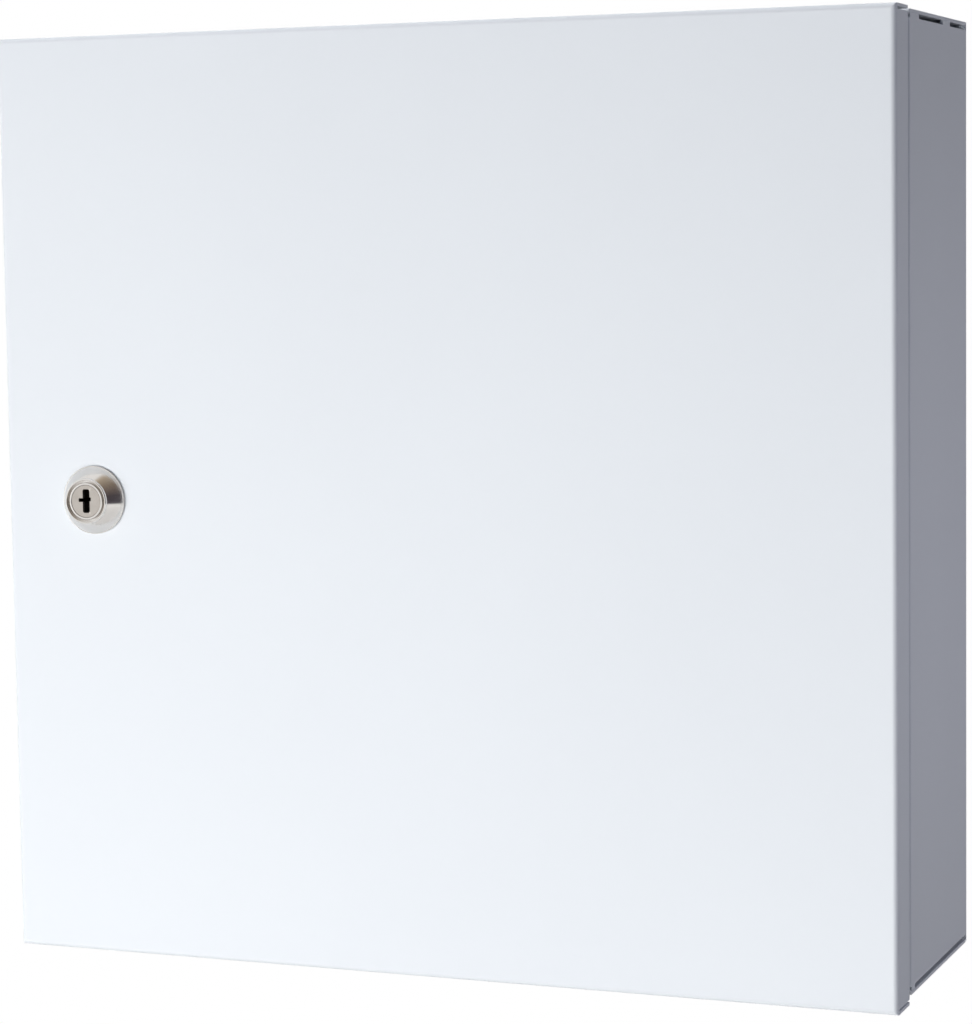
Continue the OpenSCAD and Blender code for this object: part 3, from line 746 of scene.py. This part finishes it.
def make_cam(axis, zinc):
    """The cam on the plug's tail, with its washer and its slotted screw."""
    blade = softened_copy("lock_cam", "cam_blade", 0.35)
    finish_piece(blade, zinc, "lock_core", "zinc_plate", "lock_cam")
    washer = ring_washer("cam_flat_washer", 11, 4.8, 1.0, 0.25)
    stand(washer, (axis.x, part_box("cam_washer")[0].y, axis.z), IN)
    finish_piece(washer, zinc, "lock_core", "zinc_plate", "cam_washer")
    low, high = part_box("cam_screw")
    radius, shank, half_slot = 2.0, 9.0, 0.6
    head = (high.y - low.y) / MM - shank
    screw = turned("cam_pan_screw", [
        (0, 0), (radius - 0.4, 0), (radius, 0.4), (radius, shank), (3.9, shank, 0.15),
        (4.0, shank + 0.35 * head, 0.5), (3.3, shank + 0.72 * head, 0.6),
        (1.8, shank + 0.96 * head, 0.5), (0, shank + head)], 48)
    carved(screw, block("driver_slot", (-half_slot, -5, shank + 0.6 * head),
                        (half_slot, 5, shank + head + 1)))
    stand(soften(screw, 0.08, 2, 40), (axis.x, low.y, axis.z), IN)
    finish_piece(screw, zinc, "lock_core", "zinc_plate", "cam_screw")


def make_lock(zinc):
    """The cam lock, from the head on the door's face back to the cam behind it."""
    low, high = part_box("lock_housing")
    axis = Vector(((low.x + high.x) / 2, 0, (low.z + high.z) / 2))
    foot = Vector((axis.x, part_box("door_panel")[0].y, axis.z))
    oiled_and_shaded = oiled_and_shaded_plug(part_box("lock_plug")[0].y)
    make_lock_head(foot, warm_nickel(axis))
    make_lock_plug(foot, oiled_and_shaded)
    make_wafers(foot, oiled_and_shaded)
    make_lock_clamp(axis, zinc)
    make_cam(axis, zinc)


# Hinges, fixings, buffers and sheets

def make_hinges(zinc):
    """The two concealed hinges, each with a cranked strap, a leaf in the door and a headed pin."""
    shank, head, head_high, dimple = 2.5, 4.0, 1.5, 0.25
    for level in ("upper", "lower"):
        strap = softened_copy(level + "_hinge_strap", level + "_strap", 0.3)
        finish_piece(strap, zinc, "cabinet", "zinc_plate", level + "_hinge_strap")
        leaf = softened_copy(level + "_hinge_leaf", level + "_leaf", 0.2)
        finish_piece(leaf, zinc, "door", "zinc_plate", level + "_hinge_leaf")
        low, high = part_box(level + "_hinge_pin")
        length = (high.z - low.z) / MM
        pin = turned(level + "_pin", [
            (0, 0), (1.9, 0, 0.1), (shank, 0.7, 0.2), (shank, length - head_high),
            (head, length - head_high, 0.15), (head, length - 0.9, 0.3), (3.0, length, 0.4),
            (1.2, length, 0.1), (1.0, length - dimple, 0.1), (0, length - dimple)], 48)
        stand(pin, ((low.x + high.x) / 2, (low.y + high.y) / 2, low.z), UP)
        finish_piece(pin, zinc, "cabinet", "zinc_plate", level + "_hinge_pin")


def make_rivets(zinc):
    """Four rivets through straps and lip, each with a domed head and a rolled one."""
    low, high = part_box("strap_rivets")
    head, shank, pitch = 3.5, 2.0, 18
    rivet = turned("strap_rivet_set", [
        (0, 0), (1.4, 0.1), (2.5, 0.45), (3.2, 0.85), (head, 1.2, 0.12), (shank, 1.2),
        (shank, 4.4), (head, 4.4, 0.12), (3.2, 4.75), (2.5, 5.15), (1.5, 5.45),
        (1.0, 5.5, 0.1), (0.8, 5.2, 0.1), (0, 5.2)], 40)
    middle = (low.x + high.x) / 2
    top, gap = high.z - head * MM, pitch * MM
    levels = (top, top - gap, -top, -top + gap)
    repeated(rivet, [(middle, low.y, level) for level in levels], IN)
    finish_piece(rivet, zinc, "cabinet", "zinc_plate", "strap_rivets")


def make_plate_fixings(zinc):
    """Shouldered studs, washers and nuts that hold the mounting plate."""
    low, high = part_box("plate_studs")
    shoulder, shoulder_high, sunk = 6.0, 9.0, 0.4
    inset = shoulder * MM
    places = [(x, z) for x in (low.x + inset, high.x - inset)
              for z in (low.z + inset, high.z - inset)]
    spacer = turned("plate_stud_set", [
        (0, 0), (shoulder, 0), (shoulder, shoulder_high, 0.5), (0, shoulder_high)], 48)
    thread = stud_thread("plate_thread", (high.y - low.y) / MM - shoulder_high + sunk)
    stand(thread, (0, 0, (shoulder_high - sunk) * MM), UP)
    for piece, node in (
            (carved(spacer, thread, "UNION"), "plate_studs"),
            (stud_washer("plate_washer_set"), "plate_washers"),
            (stud_nut("plate_nut_set"), "plate_nuts")):
        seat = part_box(node)[1].y
        repeated(piece, [(x, seat, z) for x, z in places], OUT)
        finish_piece(piece, zinc, "cabinet", "zinc_plate", node)


def make_earth_studs(zinc):
    """An earth stud with washer and nut inside the cabinet's back, and one inside the door."""
    stud_long = 15
    for body, way, end in (("cabinet", OUT, 1), ("door", IN, 0)):
        for kind, piece in (
                ("stud", stud_thread(body + "_ground_stud", stud_long)),
                ("washer", stud_washer(body + "_ground_washer")),
                ("nut", stud_nut(body + "_ground_nut"))):
            node = "%s_earth_%s" % (body, kind)
            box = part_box(node)
            stand(piece, ((box[0].x + box[1].x) / 2, box[end].y, (box[0].z + box[1].z) / 2), way)
            finish_piece(piece, zinc, body, "zinc_plate", node)


def make_buffers(rubber):
    """Two rubber buffers on the lip, each with a hollow in its face."""
    low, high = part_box("door_buffers")
    radius = (high.x - low.x) / 2 / MM
    height = (high.y - low.y) / MM
    hollow_floor = 0.8 * height
    buffer = turned("buffer_pair", [
        (0, 0), (radius, 0, 0.1), (radius, 0.45 * height, 0.3), (radius - 0.65, height, 0.4),
        (1.7, height, 0.25), (1.3, hollow_floor, 0.2), (0, hollow_floor)], 48)
    middle = (low.x + high.x) / 2
    levels = (low.z + radius * MM, high.z - radius * MM)
    repeated(buffer, [(middle, high.y, level) for level in levels], OUT)
    finish_piece(buffer, rubber, "cabinet", "black_rubber", "door_buffers")


def make_sheets(coat, galvanised):
    """The folded sheets: body, end panels, door and mounting plate, with softened cut edges."""
    rounding = 0.12
    for node, name, body, slot, finish in (
            ("body_wrap", "folded_body", "cabinet", "white_paint", coat),
            ("top_panel", "top_sheet", "cabinet", "white_paint", coat),
            ("bottom_panel", "bottom_sheet", "cabinet", "white_paint", coat),
            ("door_panel", "door_pan", "door", "white_paint", coat),
            ("mounting_plate", "module_plate", "cabinet", "galvanised", galvanised)):
        finish_piece(softened_copy(node, name, rounding, False), finish, body, slot, node)


def make_pieces():
    """All pieces of the cabinet, each on its own body."""
    zinc = bright_zinc()
    make_lock(zinc)
    make_hinges(zinc)
    make_rivets(zinc)
    make_plate_fixings(zinc)
    make_earth_studs(zinc)
    make_buffers(black_rubber())
    make_sheets(white_powder_coat(), galvanised_sheet())


make_camera()
make_world()
make_floor()
make_lights()
make_pieces()
